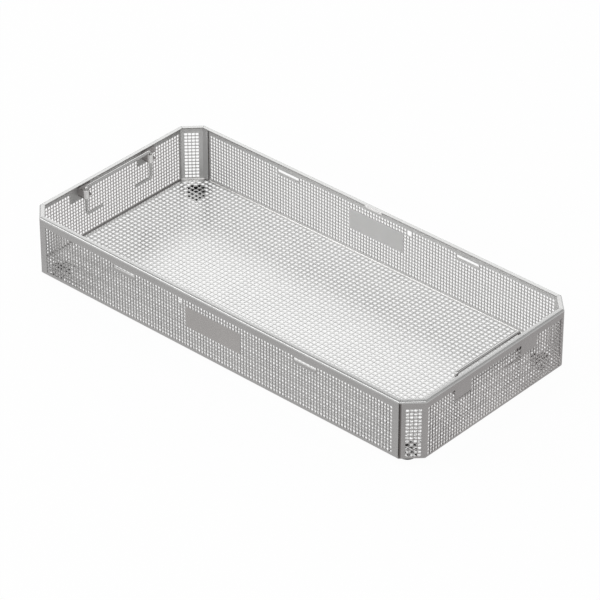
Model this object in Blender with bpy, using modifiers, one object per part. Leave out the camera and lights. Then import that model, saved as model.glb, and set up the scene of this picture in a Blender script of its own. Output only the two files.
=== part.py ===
"""Perforated steel basket with two lift-up wire handles and four rubber feet.

The tray is one folded sheet: a floor, two long walls, two short walls and four corner panels,
with a flange turned in along the rim. Each corner panel is bent off a short wall and ends in a
flap that lies against the inside of the long wall, so a seam shows outside beside each corner.
At each short wall a wire handle slides up and down in two folded guide brackets. Its grip lies
level with the rim at rest, and its turned feet stop it under the brackets when it is lifted.

Units are metres and +Z is up. The long side runs along X. The origin is on the surface that the
feet stand on, under the middle of the tray.
"""

import math

import bmesh
import bpy
from mathutils import Matrix, Vector

# Tray, outside sizes
LENGTH = 0.540
WIDTH = 0.255
TRAY_HEIGHT = 0.070
CORNER_LEG = 0.0192
SHEET = 0.0012
BEND_RADIUS = 0.0022
BEND_STEPS = 3
RIM_WIDTH = 0.0056
SEAM_WIDTH = 0.0011
FLAP_LENGTH = 0.0075
LIP_LENGTH = 0.024
LIP_DROP = 0.0017
LIP_PROUD = 0.0004

# Perforation: the windows stand for the fine punched holes, with the same open share
WALL_PITCH = 0.0180
WALL_BAR = 0.0042
WALL_ROWS = 4
LONG_WALL_MARGIN = 0.0286
SHORT_WALL_MARGIN = 0.0236
FIELD_BOTTOM = 0.0054
FIELD_TOP_DROP = 0.0096
PANEL_FIELD = 0.0151
PANEL_SHIFT = 0.0012
FLOOR_PITCH = 0.041
FLOOR_BAR = 0.0085
FLOOR_MARGIN = 0.0060
SMALLEST_WINDOW = 0.0040

# Plain places and larger openings in the walls
LABEL_WIDTH = 0.076
LABEL_BOTTOM = 0.0283
LABEL_TOP = 0.0535
SLOT_LENGTH = 0.0348
SLOT_HEIGHT = 0.0030
SLOT_PLACE = 0.128
SLOT_TOP_DROP = 0.0097
SLOT_BAR = 0.0022
SQUARE_HOLE = 0.0068
SQUARE_PLACE = 0.046
PAD_ZONE_WIDTH = 0.0255
PAD_ZONE_DEPTH = 0.0213

# Feet
FOOT_HEIGHT = 0.0090
FOOT_DIAMETER = 0.0196
FOOT_TAPER = 0.0003
FOOT_EDGE = 0.0006
FOOT_FROM_END = 0.0264
FOOT_FROM_SIDE = 0.0227
FOOT_SIDES = 16
FOOT_EDGE_STEPS = 3
STEM_DIAMETER = 0.0036
HEAD_DIAMETER = 0.0052
HEAD_TOP_DIAMETER = 0.0034
HEAD_HEIGHT = 0.0011

# Handles, a bent round wire
WIRE_DIAMETER = 0.0035
WIRE_BEND = 0.0030
WIRE_BEND_STEPS = 4
LEG_SPACING = 0.099
HANDLE_FROM_END = 0.0112
GRIP_BELOW_RIM = 0.0018
LEG_LENGTH = 0.0332
HANDLE_FOOT = 0.0240

# Guide brackets
BORE_CLEARANCE = 0.0004
SLEEVE_WALL = 0.0009
SLEEVE_LENGTH = 0.0100
SLEEVE_SIDES = 16
BRACKET_SHEET = 0.0010
SHELF_WIDTH = 0.0152
SHELF_NOSE = 0.0105
WEB_DROP = 0.0010
PAD_WIDTH = 0.0190
PAD_RISE = 0.0003
PAD_SETBACK = 0.0002

# Gap left between neighbours that touch on the real object
GAP = 0.0003
# How far two shapes that are joined into one piece reach into each other
OVERLAP = 0.0004
# Sheet left at the bottom of a seam groove, in front of the flap's face
SEAM_SKIN = 0.0001
# How far a cutter reaches past the faces that it cuts
REACH = 0.0020

TRAY_BOTTOM = FOOT_HEIGHT
TRAY_TOP = TRAY_BOTTOM + TRAY_HEIGHT
HALF_LENGTH = LENGTH / 2
HALF_WIDTH = WIDTH / 2
WIRE_RADIUS = WIRE_DIAMETER / 2
HANDLE_X = HALF_LENGTH - HANDLE_FROM_END
GRIP_Z = TRAY_TOP - GRIP_BELOW_RIM
SLEEVE_TOP = GRIP_Z - WIRE_BEND - GAP
SLEEVE_BOTTOM = SLEEVE_TOP - SLEEVE_LENGTH
BORE_RADIUS = WIRE_RADIUS + BORE_CLEARANCE
SLEEVE_RADIUS = BORE_RADIUS + SLEEVE_WALL
FIELD_LOW = TRAY_BOTTOM + FIELD_BOTTOM
FIELD_HIGH = TRAY_TOP - FIELD_TOP_DROP


def clear_scene():
    for old in list(bpy.data.objects):
        bpy.data.objects.remove(old, do_unlink=True)


def new_collection(name):
    collection = bpy.data.collections.new(name)
    bpy.context.scene.collection.children.link(collection)
    return collection


def make_material(name, colour, metallic, roughness):
    material = bpy.data.materials.new(name)
    material.use_nodes = True
    shader = material.node_tree.nodes["Principled BSDF"]
    shader.inputs["Base Color"].default_value = (*colour, 1.0)
    shader.inputs["Metallic"].default_value = metallic
    shader.inputs["Roughness"].default_value = roughness
    return material


def object_from_bmesh(name, shape, collection, material=None):
    bmesh.ops.recalc_face_normals(shape, faces=shape.faces)
    mesh = bpy.data.meshes.new(name)
    shape.to_mesh(mesh)
    shape.free()
    result = bpy.data.objects.new(name, mesh)
    collection.objects.link(result)
    if material is not None:
        mesh.materials.append(material)
    return result


def add_box(shape, low, high, placing=None):
    """Add a box between two corners, moved by the matrix placing if one is given."""
    low = Vector(low)
    high = Vector(high)
    matrix = Matrix.Translation((low + high) / 2) @ Matrix.Diagonal((*(high - low), 1.0))
    if placing is not None:
        matrix = placing @ matrix
    bmesh.ops.create_cube(shape, size=1.0, matrix=matrix)


def add_cylinder(shape, radius, low, high, centre, sides):
    """Add an upright cylinder round the point centre, from height low to height high."""
    place = Matrix.Translation((centre[0], centre[1], (low + high) / 2))
    bmesh.ops.create_cone(shape, cap_ends=True, segments=sides, radius1=radius, radius2=radius,
                          depth=high - low, matrix=place)


def hide_cutter(cutter):
    cutter.hide_render = True
    cutter.display_type = "WIRE"


def add_boolean(target, other, operation):
    modifier = target.modifiers.new(other.name, "BOOLEAN")
    modifier.operation = operation
    modifier.solver = "EXACT"
    modifier.object = other


def half_turns():
    """The tray looks the same after half a turn about the upright axis."""
    return (Matrix.Identity(4), Matrix.Rotation(math.pi, 4, "Z"))


def outline(inset):
    """The eight corners of the tray's outline, moved in by inset, counter-clockwise."""
    x = HALF_LENGTH - inset
    y = HALF_WIDTH - inset
    leg = CORNER_LEG - inset * (2 - math.sqrt(2))
    return ((x, leg - y), (x, y - leg), (x - leg, y), (leg - x, y),
            (-x, y - leg), (-x, leg - y), (leg - x, -y), (x - leg, -y))


def sheet_profile():
    """The folded sheet's outer face as pairs of inset and height, from the floor to the rim."""
    points = []
    for step in range(BEND_STEPS + 1):
        angle = math.pi / 2 * step / BEND_STEPS
        points.append((BEND_RADIUS * (1 - math.sin(angle)),
                       TRAY_BOTTOM + BEND_RADIUS * (1 - math.cos(angle))))
    for step in range(BEND_STEPS + 1):
        angle = math.pi / 2 * step / BEND_STEPS
        points.append((BEND_RADIUS * (1 - math.cos(angle)),
                       TRAY_TOP - BEND_RADIUS * (1 - math.sin(angle))))
    points.append((RIM_WIDTH, TRAY_TOP))
    return points


def folded_sheet(collection, material):
    """The tray before punching: a surface over the outer face, thickened inwards."""
    shape = bmesh.new()
    rings = []
    for inset, height in sheet_profile():
        rings.append([shape.verts.new((x, y, height)) for x, y in outline(inset)])
    shape.faces.new(list(reversed(rings[0])))
    for lower, upper in zip(rings, rings[1:]):
        for i in range(len(lower)):
            j = (i + 1) % len(lower)
            shape.faces.new((lower[i], lower[j], upper[j], upper[i]))
    mesh = bpy.data.meshes.new("perforated_tray")
    shape.to_mesh(mesh)
    shape.free()
    mesh.materials.append(material)
    tray = bpy.data.objects.new("perforated_tray", mesh)
    collection.objects.link(tray)
    thickness = tray.modifiers.new("sheet thickness", "SOLIDIFY")
    thickness.thickness = SHEET
    thickness.offset = -1.0
    thickness.use_even_offset = True
    thickness.use_quality_normals = True
    return tray


def corner_flaps(collection):
    """The end flaps of the corner panels, lying on the inside of the long walls."""
    shape = bmesh.new()
    bend = HALF_LENGTH - CORNER_LEG
    inner_limit = bend + SHEET * (2 - math.sqrt(2))
    outer_limit = bend + SHEET - OVERLAP
    end = (inner_limit + outer_limit) / 2
    wall = HALF_WIDTH - SHEET
    for placing in half_turns():
        for side in (-1, 1):
            ends = sorted((side * (bend - FLAP_LENGTH), side * end))
            add_box(shape, (ends[0], wall - SHEET, TRAY_BOTTOM + SHEET - OVERLAP),
                    (ends[1], wall + OVERLAP, TRAY_TOP - BEND_RADIUS - GAP), placing)
    return object_from_bmesh("corner_flaps", shape, collection)


def rim_lips(collection):
    """A short lip turned down at the middle of each long flange, where a lid catches."""
    shape = bmesh.new()
    edge = HALF_WIDTH - RIM_WIDTH
    for placing in half_turns():
        add_box(shape, (-LIP_LENGTH / 2, edge - LIP_PROUD, TRAY_TOP - SHEET - LIP_DROP),
                (LIP_LENGTH / 2, edge + SHEET, TRAY_TOP - OVERLAP), placing)
    return object_from_bmesh("rim_lips", shape, collection)


def seam_grooves(collection):
    """Grooves outside, where the long walls end beside the corner panels."""
    shape = bmesh.new()
    bend = HALF_LENGTH - CORNER_LEG - GAP
    for placing in half_turns():
        for side in (-1, 1):
            along = sorted((side * (bend - SEAM_WIDTH), side * bend))
            add_box(shape, (along[0], HALF_WIDTH - SHEET + SEAM_SKIN, TRAY_BOTTOM + BEND_RADIUS),
                    (along[1], HALF_WIDTH + REACH, TRAY_TOP + REACH), placing)
    return object_from_bmesh("seam_grooves", shape, collection)


def rim_slits(collection):
    """Slits that part the flanges at the eight corners of the rim."""
    shape = bmesh.new()
    bend_x = HALF_LENGTH - CORNER_LEG - GAP
    bend_y = HALF_WIDTH - CORNER_LEG - GAP
    low = TRAY_TOP - BEND_RADIUS - OVERLAP
    high = TRAY_TOP + REACH
    for placing in half_turns():
        for side in (-1, 1):
            along = sorted((side * (bend_x - SEAM_WIDTH), side * bend_x))
            add_box(shape, (along[0], HALF_WIDTH - RIM_WIDTH - REACH, low),
                    (along[1], HALF_WIDTH + REACH, high), placing)
            along = sorted((side * (bend_y - SEAM_WIDTH), side * bend_y))
            add_box(shape, (HALF_LENGTH - RIM_WIDTH - REACH, along[0], low),
                    (HALF_LENGTH + REACH, along[1], high), placing)
    return object_from_bmesh("rim_slits", shape, collection)


def window_grid(low, high, pitch, bar, count=None):
    """Split the stretch from low to high into windows with bars between, an odd count by pitch."""
    if count is None:
        count = 2 * round(((high - low + bar) / pitch - 1) / 2) + 1
    step = (high - low + bar) / count
    return [(low + i * step, low + (i + 1) * step - bar) for i in range(count)]


def trim(window, blank):
    """The largest part of the window that lies outside the blank, or None if it is too small."""
    u0, u1, v0, v1 = window
    b0, b1, c0, c1 = blank
    if u1 <= b0 or u0 >= b1 or v1 <= c0 or v0 >= c1:
        return window
    parts = ((u0, b0, v0, v1), (b1, u1, v0, v1), (u0, u1, v0, c0), (u0, u1, c1, v1))
    parts = [part for part in parts
             if min(part[1] - part[0], part[3] - part[2]) > SMALLEST_WINDOW]
    if not parts:
        return None
    return max(parts, key=lambda part: (part[1] - part[0]) * (part[3] - part[2]))


def windows(columns, rows, blanks):
    result = []
    for u in columns:
        for v in rows:
            window = (*u, *v)
            for blank in blanks:
                if window is not None:
                    window = trim(window, blank)
            if window is not None:
                result.append(window)
    return result


def long_wall_openings():
    """Windows, two slots and one square hole of a long wall, as (x0, x1, z0, z1)."""
    end = HALF_LENGTH - LONG_WALL_MARGIN
    slot_high = TRAY_TOP - SLOT_TOP_DROP
    slot_low = slot_high - SLOT_HEIGHT
    square_low = slot_high - SQUARE_HOLE
    label = (-LABEL_WIDTH / 2, LABEL_WIDTH / 2, TRAY_BOTTOM + LABEL_BOTTOM, TRAY_BOTTOM + LABEL_TOP)
    slots = [(place - SLOT_LENGTH / 2, place + SLOT_LENGTH / 2, slot_low, slot_high)
             for place in (-SLOT_PLACE, SLOT_PLACE)]
    square = (SQUARE_PLACE - SQUARE_HOLE / 2, SQUARE_PLACE + SQUARE_HOLE / 2, square_low, slot_high)
    blanks = [label]
    for u0, u1, v0, v1 in slots + [square]:
        blanks.append((u0 - SLOT_BAR, u1 + SLOT_BAR, v0 - SLOT_BAR, TRAY_TOP))
    columns = window_grid(-end, end, WALL_PITCH, WALL_BAR)
    rows = window_grid(FIELD_LOW, FIELD_HIGH, WALL_PITCH, WALL_BAR, WALL_ROWS)
    return windows(columns, rows, blanks) + slots + [square]


def short_wall_openings():
    """Windows of a short wall, as (y0, y1, z0, z1), with a plain place behind each bracket."""
    end = HALF_WIDTH - SHORT_WALL_MARGIN
    blanks = []
    for side in (-1, 1):
        middle = side * LEG_SPACING / 2
        blanks.append((middle - PAD_ZONE_WIDTH / 2, middle + PAD_ZONE_WIDTH / 2,
                       TRAY_TOP - PAD_ZONE_DEPTH, TRAY_TOP))
    columns = window_grid(-end, end, WALL_PITCH, WALL_BAR)
    rows = window_grid(FIELD_LOW, FIELD_HIGH, WALL_PITCH, WALL_BAR, WALL_ROWS)
    return windows(columns, rows, blanks)


def floor_openings():
    """Windows of the floor, as (x0, x1, y0, y1), with plain places at the feet and corners."""
    end_x = HALF_LENGTH - FLOOR_MARGIN
    end_y = HALF_WIDTH - FLOOR_MARGIN
    blanks = []
    for x, y in foot_places():
        reach = FOOT_DIAMETER / 2
        blanks.append((x - reach, x + reach, y - reach, y + reach))
        corner = (sorted((math.copysign(HALF_LENGTH - CORNER_LEG, x), math.copysign(HALF_LENGTH, x)))
                  + sorted((math.copysign(HALF_WIDTH - CORNER_LEG, y), math.copysign(HALF_WIDTH, y))))
        blanks.append(tuple(corner))
    columns = window_grid(-end_x, end_x, FLOOR_PITCH, FLOOR_BAR)
    rows = window_grid(-end_y, end_y, FLOOR_PITCH, FLOOR_BAR)
    return windows(columns, rows, blanks)


def perforation(collection):
    """All punched openings of the tray, as one cutter of separate boxes."""
    shape = bmesh.new()
    for x0, x1, y0, y1 in floor_openings():
        add_box(shape, (x0, y0, TRAY_BOTTOM - REACH), (x1, y1, TRAY_BOTTOM + SHEET + REACH))
    for placing in half_turns():
        for x0, x1, z0, z1 in long_wall_openings():
            add_box(shape, (x0, HALF_WIDTH - SHEET - REACH, z0), (x1, HALF_WIDTH + REACH, z1), placing)
        for y0, y1, z0, z1 in short_wall_openings():
            add_box(shape, (HALF_LENGTH - SHEET - REACH, y0, z0), (HALF_LENGTH + REACH, y1, z1), placing)
    rows = window_grid(FIELD_LOW, FIELD_HIGH, WALL_PITCH, WALL_BAR, WALL_ROWS)
    middle_x = HALF_LENGTH - CORNER_LEG / 2
    middle_y = HALF_WIDTH - CORNER_LEG / 2
    for side_x in (-1, 1):
        for side_y in (-1, 1):
            turn = Matrix.Rotation(math.atan2(side_y, side_x), 4, "Z")
            placing = Matrix.Translation((side_x * middle_x, side_y * middle_y, 0)) @ turn
            shift = -side_x * side_y * PANEL_SHIFT
            for z0, z1 in rows:
                add_box(shape, (-SHEET - REACH, shift - PANEL_FIELD / 2, z0),
                        (REACH, shift + PANEL_FIELD / 2, z1), placing)
    return object_from_bmesh("perforation", shape, collection)


def foot_places():
    x = HALF_LENGTH - FOOT_FROM_END
    y = HALF_WIDTH - FOOT_FROM_SIDE
    return ((-x, -y), (x, -y), (-x, y), (x, y))


def stem_holes(collection):
    """Round holes in the floor for the stems of the feet."""
    shape = bmesh.new()
    for place in foot_places():
        add_cylinder(shape, STEM_DIAMETER / 2 + GAP, TRAY_BOTTOM - REACH, TRAY_BOTTOM + SHEET + REACH,
                     place, FOOT_SIDES)
    return object_from_bmesh("stem_holes", shape, collection)


def make_tray(parts, cutters, steel):
    tray = folded_sheet(parts, steel)
    for piece in (corner_flaps(cutters), rim_lips(cutters)):
        hide_cutter(piece)
        add_boolean(tray, piece, "UNION")
    for piece in (seam_grooves(cutters), rim_slits(cutters), perforation(cutters), stem_holes(cutters)):
        hide_cutter(piece)
        add_boolean(tray, piece, "DIFFERENCE")
    return tray


def bent_path(corners, radius, steps):
    """The points of a wire through the corners, with a round bend at each inner corner."""
    path = [corners[0]]
    for before, corner, after in zip(corners, corners[1:], corners[2:]):
        way_in = (before - corner).normalized()
        way_out = (after - corner).normalized()
        centre = corner + (way_in + way_out) * radius
        for step in range(steps + 1):
            angle = math.pi / 2 * step / steps
            path.append(centre - way_out * radius * math.cos(angle) - way_in * radius * math.sin(angle))
    path.append(corners[-1])
    return path


def make_handle(name, side, parts, steel):
    """A wire handle beside the short wall on the given side, with its origin in its guides."""
    leg = LEG_SPACING / 2
    low = -LEG_LENGTH
    corners = [Vector((0, -leg + HANDLE_FOOT, low)), Vector((0, -leg, low)), Vector((0, -leg, 0)),
               Vector((0, leg, 0)), Vector((0, leg, low)), Vector((0, leg - HANDLE_FOOT, low))]
    path = bent_path(corners, WIRE_BEND, WIRE_BEND_STEPS)
    curve = bpy.data.curves.new(name + "_wire", "CURVE")
    curve.dimensions = "3D"
    curve.bevel_depth = WIRE_RADIUS
    curve.bevel_resolution = 2
    curve.use_fill_caps = True
    spline = curve.splines.new("POLY")
    spline.points.add(len(path) - 1)
    for point, place in zip(spline.points, path):
        point.co = (*place, 1.0)
    curve.materials.append(steel)
    wire = bpy.data.objects.new(name, curve)
    wire.location = (side * HANDLE_X, 0, GRIP_Z)
    parts.objects.link(wire)
    return wire


def shelf_outline():
    """The bracket's shelf seen from above, in the bracket's frame: +X is towards the wall."""
    wall = HANDLE_FROM_END - SHEET - GAP
    return ((-SLEEVE_RADIUS / 2, SLEEVE_RADIUS), (wall, SLEEVE_RADIUS),
            (wall, SLEEVE_RADIUS - SHELF_WIDTH), (0, SLEEVE_RADIUS - SHELF_NOSE))


def make_bracket(name, side, leg, parts, cutters, steel):
    """A folded guide: a pad on the wall, a web and a shelf, and a sleeve round the wire's leg."""
    wall = HANDLE_FROM_END - SHEET - GAP
    shape = bmesh.new()
    corners = [shape.verts.new((x, y, 0)) for x, y in shelf_outline()]
    base = shape.faces.new(corners)
    grown = bmesh.ops.extrude_face_region(shape, geom=[base])
    lifted = [item for item in grown["geom"] if isinstance(item, bmesh.types.BMVert)]
    bmesh.ops.translate(shape, verts=lifted, vec=(0, 0, BRACKET_SHEET))
    bracket = object_from_bmesh(name, shape, parts, steel)
    bracket.location = (side * HANDLE_X, side * leg, SLEEVE_BOTTOM)
    bracket.rotation_euler = (0, 0, 0 if side > 0 else math.pi)
    placing = Matrix.LocRotScale(bracket.location, bracket.rotation_euler, None)

    shape = bmesh.new()
    add_box(shape, (0, SLEEVE_RADIUS - BRACKET_SHEET, BRACKET_SHEET - OVERLAP),
            (wall - BRACKET_SHEET + OVERLAP, SLEEVE_RADIUS, SLEEVE_LENGTH - WEB_DROP))
    web = object_from_bmesh(name + "_web", shape, cutters)
    shape = bmesh.new()
    add_box(shape, (wall - BRACKET_SHEET, SLEEVE_RADIUS - PAD_WIDTH, PAD_RISE),
            (wall, SLEEVE_RADIUS - PAD_SETBACK, SLEEVE_LENGTH))
    pad = object_from_bmesh(name + "_pad", shape, cutters)
    shape = bmesh.new()
    add_cylinder(shape, SLEEVE_RADIUS, 0, SLEEVE_LENGTH, (0, 0), SLEEVE_SIDES)
    sleeve = object_from_bmesh(name + "_sleeve", shape, cutters)
    shape = bmesh.new()
    add_cylinder(shape, BORE_RADIUS, -REACH, SLEEVE_LENGTH + REACH, (0, 0), SLEEVE_SIDES)
    bore = object_from_bmesh(name + "_bore", shape, cutters)
    for piece, operation in ((web, "UNION"), (pad, "UNION"), (sleeve, "UNION"), (bore, "DIFFERENCE")):
        piece.matrix_world = placing
        hide_cutter(piece)
        add_boolean(bracket, piece, operation)
    return bracket


def foot_profile():
    """Half of a foot's section as (radius, height), from the head's top down to the ground."""
    head_low = TRAY_BOTTOM + SHEET + GAP
    body_top = TRAY_BOTTOM - GAP
    radius = FOOT_DIAMETER / 2
    toe = radius - FOOT_TAPER
    points = [(0, head_low + HEAD_HEIGHT), (HEAD_TOP_DIAMETER / 2, head_low + HEAD_HEIGHT),
              (HEAD_DIAMETER / 2, head_low), (STEM_DIAMETER / 2, head_low),
              (STEM_DIAMETER / 2, body_top), (radius, body_top)]
    for step in range(FOOT_EDGE_STEPS + 1):
        angle = math.pi / 2 * step / FOOT_EDGE_STEPS
        points.append((toe - FOOT_EDGE * (1 - math.cos(angle)), FOOT_EDGE * (1 - math.sin(angle))))
    points.append((0, 0))
    return points


def make_foot(name, place, parts, rubber):
    """A rubber foot, turned from its section, with a stem and a head through the floor."""
    shape = bmesh.new()
    points = [shape.verts.new((radius, 0, height)) for radius, height in foot_profile()]
    for upper, lower in zip(points, points[1:]):
        shape.edges.new((upper, lower))
    mesh = bpy.data.meshes.new(name)
    shape.to_mesh(mesh)
    shape.free()
    mesh.materials.append(rubber)
    foot = bpy.data.objects.new(name, mesh)
    foot.location = (*place, 0)
    parts.objects.link(foot)
    turn = foot.modifiers.new("turned", "SCREW")
    turn.axis = "Z"
    turn.angle = 2 * math.pi
    turn.steps = FOOT_SIDES
    turn.render_steps = FOOT_SIDES
    turn.use_merge_vertices = True
    turn.merge_threshold = 0.00001
    turn.use_smooth_shade = True
    return foot


def main():
    clear_scene()
    parts = new_collection("perforated_basket")
    cutters = new_collection("cutters")
    steel = make_material("brushed_steel", (0.56, 0.55, 0.54), 1.0, 0.34)
    wire_steel = make_material("bright_wire", (0.62, 0.61, 0.60), 1.0, 0.22)
    rubber = make_material("black_rubber", (0.018, 0.018, 0.019), 0.0, 0.65)

    make_tray(parts, cutters, steel)
    for side, end in ((-1, "left"), (1, "right")):
        make_handle("handle_" + end, side, parts, wire_steel)
        for leg, row in ((-1, "front"), (1, "back")):
            name = "handle_bracket_" + end + "_" + row
            make_bracket(name, side, side * leg * LEG_SPACING / 2, parts, cutters, steel)
    names = ("foot_front_left", "foot_front_right", "foot_back_left", "foot_back_right")
    for name, place in zip(names, foot_places()):
        make_foot(name, place, parts, rubber)


main()
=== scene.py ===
"""Looks of the perforated steel basket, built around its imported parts.

The tray's sheet is made again with every punched hole: the floor, two long walls, two short
walls and four corner panels, with their bends, flanges, seams and inner flaps. The handles,
guide brackets and feet get their fine forms. Materials, lamps, backdrop and camera follow.

Units are metres and +Z is up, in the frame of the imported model.
"""

import math

import bmesh
import bpy
from mathutils import Matrix, Vector


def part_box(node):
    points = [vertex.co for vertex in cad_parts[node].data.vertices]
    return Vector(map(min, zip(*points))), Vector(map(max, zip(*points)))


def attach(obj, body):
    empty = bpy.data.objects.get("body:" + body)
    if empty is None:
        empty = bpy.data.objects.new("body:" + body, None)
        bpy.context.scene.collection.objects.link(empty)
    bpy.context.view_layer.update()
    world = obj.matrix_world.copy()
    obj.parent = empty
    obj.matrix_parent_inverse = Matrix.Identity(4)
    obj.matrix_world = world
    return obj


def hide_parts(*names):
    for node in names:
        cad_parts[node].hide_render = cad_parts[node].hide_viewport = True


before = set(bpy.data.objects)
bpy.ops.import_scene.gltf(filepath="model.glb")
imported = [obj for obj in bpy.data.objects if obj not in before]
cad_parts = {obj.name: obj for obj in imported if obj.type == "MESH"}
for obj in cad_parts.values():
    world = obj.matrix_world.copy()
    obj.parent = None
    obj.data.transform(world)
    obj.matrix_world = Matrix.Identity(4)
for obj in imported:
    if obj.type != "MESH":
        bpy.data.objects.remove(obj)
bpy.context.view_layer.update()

# Tray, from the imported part
TRAY_LOW, TRAY_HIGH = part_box("perforated_tray")
HALF_LENGTH = TRAY_HIGH.x
HALF_WIDTH = TRAY_HIGH.y
TRAY_BOTTOM = TRAY_LOW.z
TRAY_TOP = TRAY_HIGH.z
TRAY_HEIGHT = TRAY_TOP - TRAY_BOTTOM

# Meshes: steps and profile of a rounded edge, what looks smooth, and which points are one
ROUND_STEPS = 5
ROUND_PROFILE = 0.5
SMOOTH_ANGLE = math.radians(32)
POINT_DIGITS = 7
WELD_DISTANCE = 0.000001

# Sheet, folds and corners
SHEET = 0.0012
BEND_RADIUS = 0.0022
BEND_STEPS = 6
RIM_WIDTH = 0.0056
CORNER_LEG = 0.0192
CORNER_BEND = 0.0025
FLAP_BEND = 0.0014
SEAM_GAP = 0.0005
MITRE_GAP = 0.0003
FLAP_GAP = 0.0001
FLAP_LENGTH = 0.0075

# Punched square holes: pitch, size, number and the cut across their corners
FLOOR_PITCH = (0.00560, 0.00565)
FLOOR_HOLE = 0.00435
FLOOR_HOLES = (94, 44)
FLOOR_MIDDLE = (-0.00105, 0.00083)
LONG_PITCH = 0.00401
LONG_ROW_PITCH = 0.00404
LONG_HOLE = 0.0033
LONG_COLUMNS = 121
LONG_SHIFT = 0.0004
LONG_ROW_LOW = 0.0063
SHORT_PITCH = 0.00414
SHORT_ROW_PITCH = 0.00416
SHORT_HOLE = 0.0036
SHORT_COLUMNS = 51
SHORT_ROW_LOW = 0.0049
PANEL_COLUMNS = 4
PANEL_HOLE = 0.0034
PANEL_SHIFT = 0.0012
WALL_ROWS = 14
HOLE_CORNER = 0.0004

# Plain places and larger openings, counted in holes from the middle and the top, and sizes
LABEL_COLUMNS = range(-9, 10)
LABEL_ROWS = range(3, 9)
SLOT_COLUMNS = (28, 36)
SLOT_LENGTH = 0.0308
SLOT_HEIGHT = 0.0037
SLOT_RISE = 0.0008
SQUARE_COLUMNS = (11, 13)
SQUARE_HOLE = 0.0068
PAD_COLUMNS = range(10, 16)
PAD_ROWS = range(1, 4)

# Lip at the middle of each long flange
LIP_LENGTH = 0.024
LIP_SLANT = 0.0020
LIP_DEPTH = 0.0029
LIP_PROUD = 0.0004
LIP_EDGE = 0.0003
LIP_EDGE_STEPS = 3
LIP_SINK = LIP_EDGE / 3

# Wire handles
WIRE = 0.0035
WIRE_BEND = 0.0030
WIRE_BEND_STEPS = 10
WIRE_SIDES = 28
WIRE_END = 0.0004
HANDLE_FOOT = 0.0240

# Guide brackets, each with a sleeve round a leg of the handle; its bore and outside are radii
SLEEVE_BORE = 0.00215
SLEEVE_WALL = 0.0009
SLEEVE = SLEEVE_BORE + SLEEVE_WALL
SLEEVE_EDGE = 0.00025
SLEEVE_SIDES = 40
BRACKET_SHEET = 0.0010
BRACKET_BEND = 0.0016
SHELF_WIDTH = 0.0152
SHELF_NOSE = 0.0105
SHELF_ROUND = 0.0030
WEB_DROP = 0.0010
PAD_WIDTH = 0.0190
PAD_SETBACK = 0.0002
PAD_ROUND = 0.0015
BITE_STEPS = 20

# Feet, and the stem and head that hold each in the floor, whose widths are diameters
FOOT_TAPER = 0.0001
FOOT_EDGE = 0.0003
FOOT_SHOULDER = 0.0003
FOOT_SIDES = 64
STEM = 0.0036
HEAD = 0.0052
HEAD_TOP = 0.0034
HEAD_HEIGHT = 0.0011
STEM_SIDES = 24
FOOT_GAP = 0.0003
HEAD_GAP = FOOT_GAP / 3

# Steel: colours by place and face, most of them lighter or darker copies of one steel that paint light and
# shade, and the fine lines and clouds in its finish
OUTER_STEEL = (0.345, 0.339, 0.335)
# Painted light: the inner faces of the long walls and corners are a lighter copy of the outer steel
INNER_LIT_STEEL = (0.61, 0.608, 0.602)
# Painted highlight: the flanges are a lighter copy that stands in for light on the rim
FLANGE_HIGHLIGHT_STEEL = (0.47, 0.47, 0.465)
LABEL_STEEL = (0.345, 0.332, 0.324)
# Painted shadow: a near-black steel in the seam's groove and along the flap's end
SEAM_SHADOW_STEEL = (0.13, 0.118, 0.114)
# Painted shade with a warm tint: the short walls' outer faces are a darker copy
END_SHADE_STEEL = (0.290, 0.276, 0.273)
# Painted light: the short walls' inner faces are a lighter copy
END_INNER_LIT_STEEL = (0.50, 0.497, 0.49)
# Painted shade: the corner panels' outer faces are a darker copy
CORNER_SHADE_STEEL = (0.310, 0.300, 0.296)
# Painted light: the floor is a lighter copy that paints the light from above
FLOOR_LIT_STEEL = (0.62, 0.62, 0.613)
BRACKET_STEEL = (0.44, 0.42, 0.415)
# Painted highlight: a near-white steel on the inner bends from the floor, the lips and the sleeves
HIGHLIGHT_STEEL = (0.95, 0.94, 0.93)
WIRE_STEEL = (0.55, 0.545, 0.54)
STEEL_ROUGHNESS = 0.26
STEEL_METALLIC = 0.75
INNER_ROUGHNESS = 0.38
INNER_METALLIC = 0.55
FLOOR_ROUGHNESS = 0.30
FLOOR_METALLIC = 0.70
WIRE_ROUGHNESS = 0.12
WIRE_METALLIC = 0.95
LENGTHWISE = 0.0
CROSSWISE = math.pi / 2
GRAIN_ALONG = 14
GRAIN_ACROSS = 1500
GRAIN_DETAIL = 3.0
GRAIN_BUMP = 0.08
GRAIN_DEPTH = 0.00005
ROUGH_DEPTH = 0.05
CLOUD_SCALE = 22.0
CLOUD_DETAIL = 2.0
CLOUD_DEPTH = 0.06

# Rubber
RUBBER_COLOUR = (0.010, 0.010, 0.011)
RUBBER_SPECULAR = 0.06
RUBBER_ROUGHNESS = (0.7, 0.9)
RUBBER_GRAIN = 1800.0
RUBBER_BUMP = 0.2
RUBBER_DEPTH = 0.0001

# Light: the room around the basket, and soft boxes as name, direction, size and brightness
WHITE = (1, 1, 1, 1)
ROOM_LIGHT = 0.74
OVERHEAD_LIGHT = 0.38
OVERHEAD_FROM = 0.60
OVERHEAD_FULL = 0.82
LAMP_DISTANCE = 3.0
LAMPS = (("back_left_box", (-0.56, 0.66, 0.46), (3.6, 1.5), 1.2),
         ("front_left_box", (-0.56, -0.62, 0.55), (2.0, 1.6), 2.3),
         ("high_front_box", (0.42, -0.40, 0.80), (1.5, 1.4), 2.3))
GROUND_SHARE = 0.96
GROUND_COLOUR = (0.92, 0.92, 0.92)
GROUND_REACH = 12.0

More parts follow.
